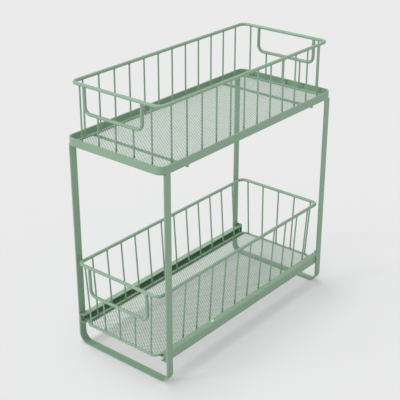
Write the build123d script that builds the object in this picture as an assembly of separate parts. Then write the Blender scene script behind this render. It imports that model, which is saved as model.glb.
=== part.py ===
from build123d import *
import math
import os

# Pull out cabinet basket: two strap end frames carry a rimmed top frame and two side rails.
# A wire basket stands in the top frame and lifts out, a second one slides forward on the rails.
# Millimetres, +X to the right, +Y to the rear, +Z up. The lower basket pulls out along -Y.
# The origin is on the floor, midway between the outermost points of the assembly.

# End frames: flat strap bent into a U that stands on its crossbar
frame_width = 178.0
leg_height = 327.0
strap_width = 12.0
strap_thickness = 2.0
strap_bend_radius = 16.0
frame_inset = 5.0  # from the ends of the top frame to the strap's outer edge

# Top frame: a band on edge and two cross wires under it
top_frame_depth = 402.0
band_height = 12.0
band_thickness = 2.0
band_corner_radius = 12.0
cross_wire_diameter = 4.0
cross_wire_inset = 53.0  # from the ends of the band
cross_wire_recess = 0.5  # from the band's outer face to the wire's end

# Wire used in both baskets
loop_wire_diameter = 5.0  # top wires and handles
base_wire_diameter = 3.5
upright_diameter = 2.5
loop_corner_radius = 10.0  # at the wire's centre line
weld_depth = 0.2  # of the cross wires in the band
handle_corner_radius = 10.0
handle_saddle_relief = 0.5  # a handle's end stops this far short of the top wire's centre
end_upright_pitch = 32.5
uprights_per_side = 12

# Upper basket
upper_basket_height = 92.5
upper_basket_gap = 4.75  # from the base wire to the inside of the band
upper_first_upright = 20.9  # from the end of the top wire's centre line
upper_handle_width = 105.0
upper_handle_offset = 4.0  # each handle sits this far to the left, seen from its own end
upper_handle_drop = 39.5

# Lower basket
lower_basket_height = 106.5
lower_overhang = 2.0  # how far the basket stands out before the top frame
lower_rear_setback = 4.0
lower_leg_gap = 6.5  # from the top wire to the legs of the end frames
lower_rail_gap = 3.75  # from the base wire to the rails' inner edges
lower_end_lean = 2.5  # how far each end wall leans outward
lower_first_upright = 28.1
lower_handle_width = 112.0
lower_handle_drop = 46.5

# Floors of both baskets: sheet with diamond openings
sheet_thickness = 1.0
sheet_lap = 1.5  # the sheet's edge lies this far beyond a wire's centre line
sheet_border = 7.0
diamond_width = 16.0  # these two are stretched a little so that whole openings fill a sheet
diamond_length = 23.0
strand_width = 2.4

# Side rails: channels that open inwards
rail_bottom = 36.0
rail_height = 14.0
rail_flange = 10.0
rail_thickness = 1.2
rail_bend_radius = 1.6
rail_ear_height = 3.0  # the rear tab stands this far above the upper flange

# Runners: flat strips under the lower basket, each with a stop tab bent up at its rear end
runner_thickness = 2.0
runner_lap = 2.5  # how far the strip reaches inwards past the base wire's centre line
runner_front_setback = 6.0
runner_rear_gap = 4.8
runner_lift = 0.3  # running clearance above the lower flange
runner_side_gap = 0.5
tab_head_gap = 0.5
tab_inner_gap = 0.5
runner_travel = 272.0

# Stop buttons: a domed head on the upper flange and a stem through it
button_head_diameter = 6.0
button_head_height = 2.2
button_edge_radius = 0.8
button_stem_diameter = 3.0
button_stem_length = 6.5
button_hole_clearance = 0.1
button_stop_gap = 0.3
button_inset = 5.0  # from the flange's inner edge to the stem's centre

lift_clearance = 0.3  # between the upper basket's floor and the cross wires

# Derived positions
band_half_width = frame_width / 2
band_half_depth = top_frame_depth / 2
leg_inner_face = frame_width / 2 - strap_thickness
strap_outer_edge = band_half_depth - frame_inset
loop_radius = loop_wire_diameter / 2
base_radius = base_wire_diameter / 2
cross_wire_y = band_half_depth - cross_wire_inset
cross_wire_height = leg_height - cross_wire_diameter / 2 + weld_depth

upper_floor = cross_wire_height + cross_wire_diameter / 2 + lift_clearance
upper_base_height = upper_floor + sheet_thickness + base_radius
upper_top_height = upper_floor + upper_basket_height - loop_radius
upper_half_width = band_half_width - band_thickness - upper_basket_gap - base_radius
upper_half_depth = band_half_depth - band_thickness - upper_basket_gap - base_radius

rail_inner_edge = leg_inner_face - rail_flange
rail_web_inner = leg_inner_face - rail_thickness
rail_top = rail_bottom + rail_height
rail_tab_face = strap_outer_edge - rail_thickness

runner_bottom = rail_bottom + rail_thickness + runner_lift
runner_top = runner_bottom + runner_thickness
runner_outer_edge = rail_web_inner - runner_side_gap
runner_front = -strap_outer_edge + runner_front_setback
runner_rear = rail_tab_face - runner_rear_gap
stop_tab_face = runner_rear - runner_thickness

lower_base_height = runner_top + base_radius
lower_top_height = runner_bottom + lower_basket_height - loop_radius
lower_base_half_width = rail_inner_edge - lower_rail_gap - base_radius
lower_top_half_width = leg_inner_face - lower_leg_gap - loop_radius
lower_top_front = -band_half_depth - lower_overhang + loop_radius
lower_top_rear = band_half_depth - lower_rear_setback - loop_radius
lower_base_front = lower_top_front + lower_end_lean
lower_base_rear = lower_top_rear - lower_end_lean
runner_inner_edge = lower_base_half_width - runner_lap

button_x = rail_inner_edge + button_inset
button_y = stop_tab_face - runner_travel - button_stop_gap - button_stem_diameter / 2

# The lower basket stands out before the top frame, so the middle of the whole lies forward
front_end = min(-band_half_depth, lower_top_front - loop_radius)
rear_end = max(band_half_depth, lower_top_rear + loop_radius)
origin_shift = -(front_end + rear_end) / 2


def rod(start, end, diameter):
    """A straight round wire."""
    run = Vector(*end) - Vector(*start)
    section = Plane(origin=start, z_dir=run) * Circle(diameter / 2)
    return extrude(section, amount=run.length)


def wire_loop(half_width, front, rear, height, radius):
    """A closed rectangle of round wire with bent corners, lying flat."""
    outline = RectangleRounded(2 * half_width, rear - front, loop_corner_radius)
    path = (Pos(0, (front + rear) / 2, height) * outline).wire()
    section = Plane(origin=path @ 0, z_dir=path % 0) * Circle(radius)
    return sweep(section, path=path)


def end_frame(rear_edge):
    """A strap bent into a U, its flat side facing sideways."""
    outer = Rectangle(frame_width, leg_height, align=(Align.CENTER, Align.MIN))
    outer = fillet(outer.vertices().sort_by(Axis.Y)[:2], strap_bend_radius)
    inner_width = frame_width - 2 * strap_thickness
    inner = Rectangle(inner_width, leg_height, align=(Align.CENTER, Align.MIN))
    inner = fillet(inner.vertices().sort_by(Axis.Y)[:2], strap_bend_radius - strap_thickness)
    profile = outer - Pos(0, strap_thickness) * inner
    face = Plane(origin=(0, rear_edge, 0), x_dir=(1, 0, 0), z_dir=(0, -1, 0)) * profile
    return extrude(face, amount=strap_width)


def top_band():
    """The band on edge that holds the upper basket in place."""
    outer = RectangleRounded(frame_width, top_frame_depth, band_corner_radius)
    inner_width = frame_width - 2 * band_thickness
    inner_depth = top_frame_depth - 2 * band_thickness
    inner = RectangleRounded(inner_width, inner_depth, band_corner_radius - band_thickness)
    return extrude(Pos(0, 0, leg_height) * (outer - inner), amount=band_height)


def cross_wire(y):
    """A wire under the band that carries the upper basket."""
    half_length = band_half_width - cross_wire_recess
    start = (-half_length, y, cross_wire_height)
    return rod(start, (half_length, y, cross_wire_height), cross_wire_diameter)


def rail():
    """The right rail: a channel that opens inwards, closed at its rear end by an upright tab."""
    outer = Pos(leg_inner_face - rail_flange / 2, rail_bottom + rail_height / 2)
    outer = outer * Rectangle(rail_flange, rail_height)
    outer = fillet(outer.vertices().sort_by(Axis.X)[2:], rail_bend_radius)
    hollow_height = rail_height - 2 * rail_thickness
    hollow = Pos(rail_web_inner - rail_flange / 2, rail_bottom + rail_height / 2)
    hollow = hollow * Rectangle(rail_flange, hollow_height)
    hollow = fillet(hollow.vertices().sort_by(Axis.X)[2:], rail_bend_radius - rail_thickness)
    face = Plane(origin=(0, strap_outer_edge, 0), x_dir=(1, 0, 0), z_dir=(0, -1, 0))
    channel = extrude(face * (outer - hollow), amount=2 * strap_outer_edge)
    tab_height = rail_height + rail_ear_height
    tab_place = Pos(rail_inner_edge, rail_tab_face, rail_bottom)
    tab = tab_place * Box(rail_flange, rail_thickness, tab_height, align=Align.MIN)
    hole_radius = button_stem_diameter / 2 + button_hole_clearance
    hole = Pos(button_x, button_y, rail_top) * Cylinder(hole_radius, 4 * rail_thickness)
    return channel + tab - hole


def stop_button():
    """The right stop button, pushed through the upper flange of its rail."""
    seat = Pos(button_x, button_y, rail_top)
    bottom_up = (Align.CENTER, Align.CENTER, Align.MIN)
    top_down = (Align.CENTER, Align.CENTER, Align.MAX)
    head = Cylinder(button_head_diameter / 2, button_head_height, align=bottom_up)
    head = fillet(head.edges().sort_by(Axis.Z)[-1], button_edge_radius)
    stem = Cylinder(button_stem_diameter / 2, button_stem_length, align=top_down)
    return seat * (head + stem)


def runner():
    """The right runner: a flat strip whose rear end is bent up against the stop."""
    length = runner_rear - runner_front
    width = runner_outer_edge - runner_inner_edge
    strip_place = Pos(runner_inner_edge, runner_front, runner_bottom)
    strip = strip_place * Box(width, length, runner_thickness, align=Align.MIN)
    tab_start = rail_inner_edge + tab_inner_gap
    tab_width = runner_outer_edge - tab_start
    tab_height = rail_top - rail_thickness - tab_head_gap - runner_bottom
    tab_place = Pos(tab_start, stop_tab_face, runner_bottom)
    tab = tab_place * Box(tab_width, runner_thickness, tab_height, align=Align.MIN)
    return strip + tab


def diamond_sheet(half_width, front, rear, bottom, corner):
    """A flat sheet with staggered diamond openings inside a plain border."""
    depth = rear - front
    outline = RectangleRounded(2 * half_width, depth, corner)
    across = int((2 * half_width - 2 * sheet_border) / diamond_width)
    along = int((depth - 2 * sheet_border) / diamond_length)
    cell_width = (2 * half_width - 2 * sheet_border) / across
    cell_length = (depth - 2 * sheet_border) / along
    # Half the openings' diagonals: half the cell less the share of the strands on each side
    slant = math.hypot(cell_width, cell_length)
    half_across = cell_width / 2 - strand_width * slant / (2 * cell_length)
    half_along = cell_length / 2 - strand_width * slant / (2 * cell_width)
    openings = []
    for columns, rows in ((across, along), (across - 1, along - 1)):
        for place in GridLocations(cell_width, cell_length, columns, rows):
            corners = [(half_across, 0), (0, half_along), (-half_across, 0), (0, -half_along)]
            openings.append((place * Polyline(*corners, close=True)).wire())
    face = Face(outline.wire(), openings)
    return extrude(Pos(0, (front + rear) / 2, bottom) * face, amount=sheet_thickness, dir=(0, 0, 1))


def between(foot, head, height):
    """The point at one height on the line from foot to head."""
    share = (height - foot[2]) / (head[2] - foot[2])
    return tuple(low + (high - low) * share for low, high in zip(foot, head))


def side_uprights(side, half_widths, first, last, heights, loops):
    """The uprights of one long wall, their ends shaped to the base wire and the top wire."""
    pitch = (last - first) / (uprights_per_side - 1)
    wires = []
    for index in range(uprights_per_side):
        y = first + index * pitch
        foot = (side * half_widths[0], y, heights[0])
        head = (side * half_widths[1], y, heights[1])
        wires.append(rod(foot, head, upright_diameter) - loops[0] - loops[1])
    return wires


def end_uprights(foot_y, head_y, half_widths, heights, loops, bar=None):
    """The uprights of one end wall; the middle ones stop at the handle's bar where there is one."""
    wires = []
    for step in range(-2, 3):
        head_x = step * end_upright_pitch
        foot = (head_x * half_widths[0] / half_widths[1], foot_y, heights[0])
        head = (head_x, head_y, heights[1])
        if bar and abs(step) < 2:
            head = between(foot, head, heights[1] - bar)
        wire = rod(foot, head, upright_diameter)
        for loop in loops:
            wire = wire - loop
        wires.append(wire)
    return wires


def handle(foot, head, width, drop, offset=0):
    """A loop of wire that hangs from the middle of an end wall's top wire."""
    start = between(foot, head, head[2] - handle_saddle_relief)
    low = between(foot, head, head[2] - drop)
    left, right = offset - width / 2, offset + width / 2
    corners = [(left, *start[1:]), (left, *low[1:]), (right, *low[1:]), (right, *start[1:])]
    path = FilletPolyline(*corners, radius=handle_corner_radius)
    section = Plane(origin=path @ 0, z_dir=path % 0) * Circle(loop_radius)
    loop = sweep(section, path=path)
    ends = (left - loop_wire_diameter, right + loop_wire_diameter)
    top_wire = rod((ends[0], *head[1:]), (ends[1], *head[1:]), loop_wire_diameter)
    return loop - top_wire


def frame_pieces():
    """Everything that stands still."""
    right_rail = rail()
    right_button = stop_button()
    return {
        "front_frame": end_frame(-strap_outer_edge + strap_width),
        "rear_frame": end_frame(strap_outer_edge),
        "top_frame_band": top_band(),
        "front_cross_wire": cross_wire(-cross_wire_y),
        "rear_cross_wire": cross_wire(cross_wire_y),
        "right_rail": right_rail,
        "left_rail": mirror(right_rail, about=Plane.YZ),
        "right_stop_button": right_button,
        "left_stop_button": mirror(right_button, about=Plane.YZ),
    }


def upper_basket_pieces():
    """The basket that stands in the top frame."""
    pieces = {}
    width, depth = upper_half_width, upper_half_depth
    widths = (width, width)
    heights = (upper_base_height, upper_top_height)
    base_loop = wire_loop(width, -depth, depth, heights[0], base_radius)
    top_loop = wire_loop(width, -depth, depth, heights[1], loop_radius)
    loops = [base_loop, top_loop]
    pieces["upper_base_wire"], pieces["upper_top_wire"] = loops
    first = -depth + upper_first_upright
    for name, side in (("upper_left_uprights", -1), ("upper_right_uprights", 1)):
        pieces[name] = side_uprights(side, widths, first, -first, heights, loops)
    for name, end in (("front", -1), ("rear", 1)):
        y = end * depth
        foot = (0, y, heights[0])
        head = (0, y, heights[1])
        offset = end * upper_handle_offset
        grip = handle(foot, head, upper_handle_width, upper_handle_drop, offset)
        pieces["upper_" + name + "_handle"] = grip
        wires = end_uprights(y, y, widths, heights, [*loops, grip], upper_handle_drop)
        pieces["upper_" + name + "_uprights"] = wires
    reach = sheet_lap
    corner = loop_corner_radius + reach
    sheet = diamond_sheet(width + reach, -depth - reach, depth + reach, upper_floor, corner)
    pieces["upper_floor_sheet"] = sheet
    return pieces


def lower_basket_pieces():
    """The basket that slides out on the rails."""
    pieces = {}
    widths = (lower_base_half_width, lower_top_half_width)
    heights = (lower_base_height, lower_top_height)
    base_ends = (lower_base_front, lower_base_rear)
    top_ends = (lower_top_front, lower_top_rear)
    base_loop = wire_loop(widths[0], *base_ends, heights[0], base_radius)
    top_loop = wire_loop(widths[1], *top_ends, heights[1], loop_radius)
    loops = [base_loop, top_loop]
    pieces["lower_base_wire"], pieces["lower_top_wire"] = loops
    first = lower_top_front + lower_first_upright
    last = lower_top_rear - lower_first_upright
    for name, side in (("lower_left_uprights", -1), ("lower_right_uprights", 1)):
        pieces[name] = side_uprights(side, widths, first, last, heights, loops)
    foot = (0, lower_base_front, heights[0])
    head = (0, lower_top_front, heights[1])
    grip = handle(foot, head, lower_handle_width, lower_handle_drop)
    pieces["lower_front_handle"] = grip
    ends = (lower_base_front, lower_top_front)
    wires = end_uprights(*ends, widths, heights, [*loops, grip], lower_handle_drop)
    pieces["lower_front_uprights"] = wires
    ends = (lower_base_rear, lower_top_rear)
    pieces["lower_rear_uprights"] = end_uprights(*ends, widths, heights, loops)
    front = lower_base_front - sheet_lap
    rear = lower_base_rear + sheet_lap
    corner = loop_corner_radius - runner_lap
    bottom = runner_top - sheet_thickness
    pieces["lower_floor_sheet"] = diamond_sheet(runner_inner_edge, front, rear, bottom, corner)
    pieces["right_runner"] = runner()
    pieces["left_runner"] = mirror(pieces["right_runner"], about=Plane.YZ)
    return pieces


os.makedirs("parts", exist_ok=True)
for group in (frame_pieces(), upper_basket_pieces(), lower_basket_pieces()):
    for node, shape in group.items():
        solids = shape if isinstance(shape, list) else [shape]
        moved = [Pos(0, origin_shift, 0) * solid for solid in solids]
        whole = Compound([one.solid() for one in moved])
        export_step(whole, "parts/" + node + ".step")
        print(node, len(solids), round(whole.volume, 1))
print("origin shift", origin_shift, "stop button", button_x, round(button_y, 2))
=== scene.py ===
import bpy
import math
from mathutils import Matrix, Vector


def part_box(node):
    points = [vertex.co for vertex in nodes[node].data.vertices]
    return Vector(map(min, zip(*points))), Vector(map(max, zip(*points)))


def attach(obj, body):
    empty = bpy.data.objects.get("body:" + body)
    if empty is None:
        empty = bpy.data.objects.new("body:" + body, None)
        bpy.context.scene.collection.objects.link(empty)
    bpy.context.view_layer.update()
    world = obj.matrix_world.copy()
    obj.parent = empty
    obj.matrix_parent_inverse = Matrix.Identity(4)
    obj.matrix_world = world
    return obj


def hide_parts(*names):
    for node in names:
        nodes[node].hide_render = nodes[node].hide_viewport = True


# Pull out cabinet basket in sage green powder coat. The steel pieces are the model's own
# solids with a painted finish. The fine diamond floors and the weld beads are made here.

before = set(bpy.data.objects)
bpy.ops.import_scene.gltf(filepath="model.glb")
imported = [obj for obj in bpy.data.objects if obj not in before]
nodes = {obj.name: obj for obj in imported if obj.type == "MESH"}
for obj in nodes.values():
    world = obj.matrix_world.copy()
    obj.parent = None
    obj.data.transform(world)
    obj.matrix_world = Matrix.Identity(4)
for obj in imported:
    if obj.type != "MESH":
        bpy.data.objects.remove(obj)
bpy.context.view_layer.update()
MM = 0.001

# Each coat drifts between a light and a dark tone
SAGE_TONES = ((0.268, 0.414, 0.289), (0.246, 0.387, 0.266))
# The net's tones are the sage coat darkened: painted shade for the strands' shaded sides and the
# shade between them
NET_SHADED_TONES = ((0.195, 0.335, 0.220), (0.170, 0.295, 0.195))
NYLON_TONES = ((0.62, 0.74, 0.65), (0.58, 0.70, 0.61))
COAT_IOR = 1.5
COAT_ROUGHNESS = 0.42
NYLON_ROUGHNESS = 0.5
COAT_PEEL_SCALE = 900.0      # ripples of orange peel in a metre
NYLON_PEEL_SCALE = 500.0
COAT_BUMP = 0.25
NYLON_BUMP = 0.15
DRIFT_SCALE = 14.0           # patches of tone in a metre
SPECK_SCALE = 1600.0         # grains of powder in a metre
PEEL_HEIGHT = 0.1 * MM


# ---------------------------------------------------------------- finishes

def socket(group, name, kind, way, default=None):
    item = group.interface.new_socket(name=name, in_out=way, socket_type=kind)
    if default is not None:
        item.default_value = default


def powder_grain_group():
    """Fine orange peel, slow drift of the coat's colour, and specks of finer grain."""
    group = bpy.data.node_groups.new("powder_grain", "ShaderNodeTree")
    socket(group, "Vector", "NodeSocketVector", "INPUT")
    socket(group, "Peel Scale", "NodeSocketFloat", "INPUT", COAT_PEEL_SCALE)
    socket(group, "Drift Scale", "NodeSocketFloat", "INPUT", DRIFT_SCALE)
    for name in ("Peel", "Drift", "Speck"):
        socket(group, name, "NodeSocketFloat", "OUTPUT")
    new, link = group.nodes.new, group.links.new
    inlet, outlet = new("NodeGroupInput"), new("NodeGroupOutput")
    for name, detail, roughness in (("Peel", 2.0, 0.45), ("Drift", 3.0, 0.6)):
        noise = new("ShaderNodeTexNoise")
        noise.inputs["Detail"].default_value = detail
        noise.inputs["Roughness"].default_value = roughness
        link(inlet.outputs["Vector"], noise.inputs["Vector"])
        link(inlet.outputs[name + " Scale"], noise.inputs["Scale"])
        link(noise.outputs["Fac"], outlet.inputs[name])
    speck = new("ShaderNodeTexVoronoi")
    speck.inputs["Scale"].default_value = SPECK_SCALE
    link(inlet.outputs["Vector"], speck.inputs["Vector"])
    link(speck.outputs["Distance"], outlet.inputs["Speck"])
    return group


powder_grain = powder_grain_group()


def powder_coat(name, tones, roughness=COAT_ROUGHNESS, peel_scale=COAT_PEEL_SCALE, bump=COAT_BUMP):
    """A painted finish: two close tones that drift over the piece, with orange peel."""
    light, dark = tones
    material = bpy.data.materials.new(name)
    material.use_nodes = True
    tree = material.node_tree
    new, link = tree.nodes.new, tree.links.new
    shader = tree.nodes["Principled BSDF"]
    shader.inputs["Metallic"].default_value = 0.0
    shader.inputs["IOR"].default_value = COAT_IOR
    place = new("ShaderNodeTexCoord")
    grain = new("ShaderNodeGroup")
    grain.node_tree = powder_grain
    grain.inputs["Peel Scale"].default_value = peel_scale
    link(place.outputs["Object"], grain.inputs["Vector"])
    # Slow drift between the two tones
    tone = new("ShaderNodeValToRGB")
    for stop, position, colour in zip(tone.color_ramp.elements, (0.3, 0.7), (dark, light)):
        stop.position = position
        stop.color = (*colour, 1)
    link(grain.outputs["Drift"], tone.inputs["Fac"])
    # Grains a little darker in the middle than at their edges
    speckle = new("ShaderNodeMapRange")
    speckle.inputs["From Max"].default_value = 0.6
    speckle.inputs["To Min"].default_value = 0.94
    speckle.inputs["To Max"].default_value = 1.04
    link(grain.outputs["Speck"], speckle.inputs["Value"])
    tint = new("ShaderNodeVectorMath")
    tint.operation = "SCALE"
    link(tone.outputs["Color"], tint.inputs[0])
    link(speckle.outputs["Result"], tint.inputs["Scale"])
    link(tint.outputs["Vector"], shader.inputs["Base Color"])
    # The crests of the orange peel are duller than its hollows
    gloss = new("ShaderNodeMapRange")
    gloss.inputs["To Min"].default_value = roughness - 0.06
    gloss.inputs["To Max"].default_value = roughness + 0.08
    link(grain.outputs["Peel"], gloss.inputs["Value"])
    link(gloss.outputs["Result"], shader.inputs["Roughness"])
    relief = new("ShaderNodeBump")
    relief.inputs["Strength"].default_value = bump
    relief.inputs["Distance"].default_value = PEEL_HEIGHT
    link(grain.outputs["Peel"], relief.inputs["Height"])
    link(relief.outputs["Normal"], shader.inputs["Normal"])
    return material


sage_paint = powder_coat("sage_powder_coat", SAGE_TONES)
# Darker copy of the sage coat on the net, as painted shade
net_paint_with_shade = powder_coat("sage_net_coat_painted_shade", NET_SHADED_TONES)
nylon = powder_coat("pale_nylon", NYLON_TONES, NYLON_ROUGHNESS, NYLON_PEEL_SCALE, NYLON_BUMP)


# ---------------------------------------------------------------- modelling helpers

def fresh():
    """Object mode with nothing selected."""
    if bpy.context.mode != "OBJECT":
        bpy.ops.object.mode_set(mode="OBJECT")
    bpy.ops.object.select_all(action="DESELECT")


def settle(piece, name, body, material, smooth):
    """Names a finished piece, puts its place into its mesh, and hangs it on its body."""
    fresh()
    piece.name = name
    piece.data.name = name
    piece.select_set(True)
    bpy.context.view_layer.objects.active = piece
    bpy.ops.object.transform_apply(location=True, rotation=True, scale=True)
    bpy.ops.object.shade_smooth_by_angle(angle=math.radians(smooth))
    piece.data.materials.clear()
    piece.data.materials.append(material)
    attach(piece, body)
    piece.select_set(False)


# ---------------------------------------------------------------- diamond floors

NET_ACROSS = 6.4 * MM        # between neighbouring openings, across the basket
NET_ALONG = 4.5 * MM
NET_STRAND = 0.31 * MM       # half of a strand's width
NET_THICKNESS = 0.25 * MM
NET_DROP = 0.2 * MM          # the net's upper face below the sheet's
NET_SMOOTH = 30.0            # degrees
UPPER_FLOOR_CORNER = 11.5 * MM
LOWER_FLOOR_CORNER = 7.5 * MM


def trim_lines(half, corner):
    """The sheet's outline: a point and a direction for each side and three cuts a corner."""
    lines = [((half[0], 0), (1, 0)), ((-half[0], 0), (-1, 0)),
             ((0, half[1]), (0, 1)), ((0, -half[1]), (0, -1))]
    for sx in (-1, 1):
        for sy in (-1, 1):
            for turn in (22.5, 45, 67.5):
                c, s = math.cos(math.radians(turn)), math.sin(math.radians(turn))
                point = (sx * (half[0] - corner + corner * c), sy * (half[1] - corner + corner * s))
                lines.append((point, (sx * c, sy * s)))
    return lines


def diamond_floor(name, body, node, corner):
    """Fine diamond mesh in the place of one floor sheet, in a front and a rear half."""
    low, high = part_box(node)
    middle = Vector(((low[0] + high[0]) / 2, (low[1] + high[1]) / 2, high[2] - NET_DROP))
    half = ((high[0] - low[0]) / 2, (high[1] - low[1]) / 2)
    cell = NET_ACROSS / math.sqrt(2)
    squash = NET_ALONG / NET_ACROSS
    count = int((half[0] + half[1] / squash) * 2 / math.sqrt(2) / cell) + 4
    count += count % 2
    fresh()
    bpy.ops.mesh.primitive_grid_add(
        x_subdivisions=count, y_subdivisions=count, size=count * cell, location=middle)
    net = bpy.context.active_object
    bpy.ops.object.mode_set(mode="EDIT")
    bpy.ops.mesh.select_all(action="SELECT")
    bpy.ops.transform.rotate(value=math.radians(45), orient_axis="Z", center_override=middle)
    bpy.ops.transform.resize(value=(1, squash, 1), center_override=middle)
    for (px, py), (nx, ny) in trim_lines(half, corner):
        bpy.ops.mesh.select_all(action="SELECT")
        bpy.ops.mesh.bisect(plane_co=(middle.x + px, middle.y + py, middle.z),
                            plane_no=(nx, ny, 0), clear_outer=True)
    bpy.ops.mesh.select_all(action="SELECT")
    bpy.ops.mesh.remove_doubles(threshold=0.05 * MM)
    # Strands round every cell, and the openings cut out
    bpy.ops.mesh.select_all(action="SELECT")
    bpy.ops.mesh.inset(thickness=NET_STRAND, use_individual=True, use_even_offset=True)
    bpy.ops.mesh.delete(type="FACE")
    bpy.ops.object.mode_set(mode="OBJECT")
    for face in net.data.polygons:
        face.select = face.center.y > 0
    bpy.ops.object.mode_set(mode="EDIT")
    bpy.ops.mesh.separate(type="SELECTED")
    bpy.ops.object.mode_set(mode="OBJECT")
    halves = [o for o in bpy.context.selected_objects if o.type == "MESH"]
    halves.sort(key=lambda o: sum(v.co.y for v in o.data.vertices))
    for part, tail in zip(halves, ("front", "rear")):
        fresh()
        part.select_set(True)
        bpy.context.view_layer.objects.active = part
        thick = part.modifiers.new("thickness", "SOLIDIFY")
        thick.thickness = NET_THICKNESS
        thick.offset = -1.0
        bpy.ops.object.modifier_apply(modifier=thick.name)
        settle(part, name + "_" + tail, body, net_paint_with_shade, NET_SMOOTH)
        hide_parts(node)


diamond_floor("upper_floor_mesh", "upper_basket", "upper_floor_sheet", UPPER_FLOOR_CORNER)
diamond_floor("lower_floor_mesh", "lower_basket", "lower_floor_sheet", LOWER_FLOOR_CORNER)


# ---------------------------------------------------------------- weld beads

BEAD_SIDES = 10
BEAD_SMOOTH = 60.0           # degrees
ROD_END = 2.5 * MM           # how much of a rod counts as its foot or its head


def middle_of(points):
    """The middle of the box round some points."""
    low = [min(point[axis] for point in points) for axis in range(3)]
    high = [max(point[axis] for point in points) for axis in range(3)]
    return Vector([(a + b) / 2 for a, b in zip(low, high)])


def rod_ends(node):
    """The separate rods of one node, each as the middle of its foot and of its head."""
    mesh = node.data
    leader = list(range(len(mesh.vertices)))

    def find(index):
        while leader[index] != index:
            leader[index] = leader[leader[index]]
            index = leader[index]
        return index

    spots = {}
    for vertex in mesh.vertices:
        key = tuple(round(value, 7) for value in node.matrix_world @ vertex.co)
        first = spots.setdefault(key, vertex.index)
        leader[find(vertex.index)] = find(first)
    for edge in mesh.edges:
        leader[find(edge.vertices[0])] = find(edge.vertices[1])
    rods = {}
    for vertex in mesh.vertices:
        rods.setdefault(find(vertex.index), []).append(node.matrix_world @ vertex.co)
    ends = []
    for points in rods.values():
        low, high = min(point.z for point in points), max(point.z for point in points)
        foot = [point for point in points if point.z < low + ROD_END]
        head = [point for point in points if point.z > high - ROD_END]
        ends.append((middle_of(foot), middle_of(head)))
    return ends


def one_bead():
    """A low mound of weld metal, 1 m in radius and 1 m high each way, with a stepped shoulder."""
    fresh()
    bpy.ops.mesh.primitive_cylinder_add(
        vertices=BEAD_SIDES, radius=1.0, depth=1.0, end_fill_type="NGON", location=(0, 0, 0))
    bead = bpy.context.active_object
    for sign in (-1, 1):
        for inward, outward in ((0.18, 0.28), (0.30, 0.18)):
            bpy.ops.object.mode_set(mode="OBJECT")
            reach = max(sign * face.center.z for face in bead.data.polygons)
            for face in bead.data.polygons:
                face.select = sign * face.center.z > reach - 1e-4
            bpy.ops.object.mode_set(mode="EDIT")
            bpy.ops.mesh.inset(thickness=inward)
            bpy.ops.transform.translate(value=(0, 0, sign * outward))
    bpy.ops.object.mode_set(mode="OBJECT")
    return bead


def beads(name, body, drops):
    """Copies of one bead, joined into one piece. Each is a place and its three radii in mm."""
    pattern = one_bead()
    made = []
    for place, radii in drops:
        bead = pattern.copy()
        bead.data = pattern.data.copy()
        bpy.context.scene.collection.objects.link(bead)
        bead.location = place
        bead.scale = [radius * MM for radius in radii]
        made.append(bead)
    bpy.data.objects.remove(pattern)
    fresh()
    for bead in made:
        bead.select_set(True)
    bpy.context.view_layer.objects.active = made[0]
    bpy.ops.object.transform_apply(location=False, rotation=False, scale=True)
    bpy.ops.object.join()
    piece = bpy.context.active_object
    settle(piece, name, body, sage_paint, BEAD_SMOOTH)


# The feet and heads of the uprights
FOOT_BEAD, HEAD_BEAD = (1.6, 1.6, 0.8), (1.6, 1.6, 1.0)
into_wire = Vector((0, 0, 0.4 * MM))
for basket in ("upper", "lower"):
    drops = []
    for side in ("left", "right", "front", "rear"):
        for foot, head in rod_ends(nodes[basket + "_" + side + "_uprights"]):
            drops.append((foot + into_wire, FOOT_BEAD))
            drops.append((head - into_wire, HEAD_BEAD))
    beads(basket + "_basket_welds", basket + "_basket", drops)

# Straps to band, rails to straps and cross wires to band
BAND_BEAD, RAIL_BEAD, CROSS_BEAD = (0.9, 4.5, 0.9), (0.8, 4.0, 0.8), (1.2, 2.6, 0.7)
SEAM_INSET = 2.2 * MM        # from a strap's outer face
drops = []
band_low, band_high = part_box("top_frame_band")
rail_low, rail_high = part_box("right_rail")
for strap in ("front_frame", "rear_frame"):
    strap_low, strap_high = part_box(strap)
    strap_middle = (strap_low[1] + strap_high[1]) / 2
    for sign in (-1, 1):
        seam = sign * (strap_high[0] - SEAM_INSET)
        drops.append(((seam, strap_middle, band_low[2] + 0.2 * MM), BAND_BEAD))
        for height in (rail_low[2], rail_high[2] - 3.2 * MM):
            drops.append(((seam, strap_middle, height), RAIL_BEAD))
for wire in ("front_cross_wire", "rear_cross_wire"):
    wire_low, wire_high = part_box(wire)
    wire_middle = (wire_low[1] + wire_high[1]) / 2
    for sign in (-1, 1):
        drops.append(((sign * (wire_high[0] - 1.5 * MM), wire_middle, band_low[2]), CROSS_BEAD))
beads("frame_welds", "frame", drops)


# ---------------------------------------------------------------- finishes on the solids

for name, node in nodes.items():
    node.data.materials.clear()
    node.data.materials.append(nylon if name.endswith("button") else sage_paint)


# ---------------------------------------------------------------- floor and backdrop

FLOOR_SIZE = 30.0
FLOOR_COLOUR = (0.735, 0.735, 0.739, 1)
STEADY_COLOUR = (0.82, 0.82, 0.824, 1)
STEADY_SHARE = 0.35          # how much of the seen floor is the steady tone
WORLD_LIGHT = 0.60
WORLD_SEEN = 0.82

fresh()
bpy.ops.mesh.primitive_plane_add(size=FLOOR_SIZE, location=(0, 0, 0))
floor = bpy.context.active_object
floor.name = "floor"
pale_floor = bpy.data.materials.new("pale_floor")
pale_floor.use_nodes = True
floor.data.materials.append(pale_floor)

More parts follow.
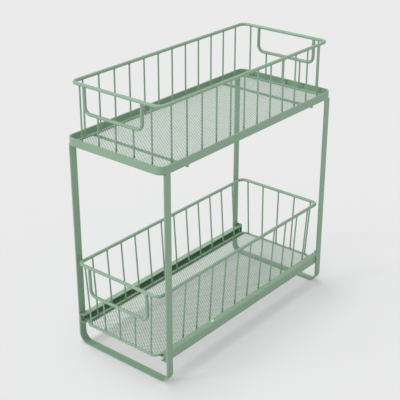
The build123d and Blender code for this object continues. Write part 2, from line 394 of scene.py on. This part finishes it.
# Where the floor is seen, part of it is a steady pale tone, so that its shadows stay soft
floor_nodes, floor_link = pale_floor.node_tree.nodes, pale_floor.node_tree.links.new
paper = floor_nodes["Principled BSDF"]
paper.inputs["Base Color"].default_value = FLOOR_COLOUR
paper.inputs["Roughness"].default_value = 0.9
paper.inputs["Specular IOR Level"].default_value = 0.1
floor_rays = floor_nodes.new("ShaderNodeLightPath")
share = floor_nodes.new("ShaderNodeMath")
share.operation = "MULTIPLY"
share.inputs[1].default_value = STEADY_SHARE
floor_link(floor_rays.outputs["Is Camera Ray"], share.inputs[0])
steady = floor_nodes.new("ShaderNodeEmission")
steady.inputs["Color"].default_value = STEADY_COLOUR
blend = floor_nodes.new("ShaderNodeMixShader")
floor_link(share.outputs["Value"], blend.inputs["Fac"])
floor_link(paper.outputs["BSDF"], blend.inputs[1])
floor_link(steady.outputs["Emission"], blend.inputs[2])
floor_link(blend.outputs["Shader"], floor_nodes["Material Output"].inputs["Surface"])

# The world is soft as a light, and as pale as the floor where it is seen or mirrored
world = bpy.data.worlds.new("studio")
bpy.context.scene.world = world
world.use_nodes = True
world_nodes, world_link = world.node_tree.nodes, world.node_tree.links.new
backdrop = world_nodes["Background"]
backdrop.inputs["Color"].default_value = (1, 1, 1, 1)
rays = world_nodes.new("ShaderNodeLightPath")
seen = world_nodes.new("ShaderNodeMath")
seen.operation = "MAXIMUM"
world_link(rays.outputs["Is Camera Ray"], seen.inputs[0])
world_link(rays.outputs["Is Glossy Ray"], seen.inputs[1])
level = world_nodes.new("ShaderNodeMapRange")
level.inputs["To Min"].default_value = WORLD_LIGHT
level.inputs["To Max"].default_value = WORLD_SEEN
world_link(seen.outputs["Value"], level.inputs["Value"])
world_link(level.outputs["Result"], backdrop.inputs["Strength"])


# ---------------------------------------------------------------- lights

def sunlight(name, place, strength, spread):
    """A far, wide studio light that shines from a place towards the origin."""
    data = bpy.data.lights.new(name, "SUN")
    data.energy = strength
    data.angle = math.radians(spread)
    lamp = bpy.data.objects.new(name, data)
    bpy.context.scene.collection.objects.link(lamp)
    lamp.location = place
    lamp.rotation_mode = "QUATERNION"
    lamp.rotation_quaternion = (-Vector(place)).to_track_quat("-Z", "Y")


sunlight("overhead", (-1.5, 0.2, 9.0), 1.3, 16)
sunlight("front", (-5.0, -8.0, 4.0), 1.0, 18)


# ---------------------------------------------------------------- camera

AZIMUTH, ELEVATION, ROLL = math.radians(39.44), math.radians(25.237), math.radians(0.057)
DISTANCE = 1522.568 * MM
TARGET = Vector((0.008, -14.519, 200.316)) * MM
FOCAL_PIXELS = 998.232
IMAGE_PIXELS = 400.0
SENSOR_WIDTH = 36.0

camera_data = bpy.data.cameras.new("camera")
camera_data.sensor_width = SENSOR_WIDTH
camera_data.lens = FOCAL_PIXELS * SENSOR_WIDTH / IMAGE_PIXELS
camera = bpy.data.objects.new("camera", camera_data)
bpy.context.scene.collection.objects.link(camera)
back = Vector((math.sin(AZIMUTH) * math.cos(ELEVATION),
               -math.cos(AZIMUTH) * math.cos(ELEVATION),
               math.sin(ELEVATION)))
right = (-back).cross(Vector((0, 0, 1))).normalized()
up = right.cross(-back)
tilted_right = math.cos(ROLL) * right + math.sin(ROLL) * up
tilted_up = -math.sin(ROLL) * right + math.cos(ROLL) * up
turn = Matrix((tilted_right, tilted_up, back)).transposed().to_4x4()
camera.matrix_world = Matrix.Translation(TARGET + back * DISTANCE) @ turn
bpy.context.scene.camera = camera
bpy.context.scene.view_settings.view_transform = "Standard"
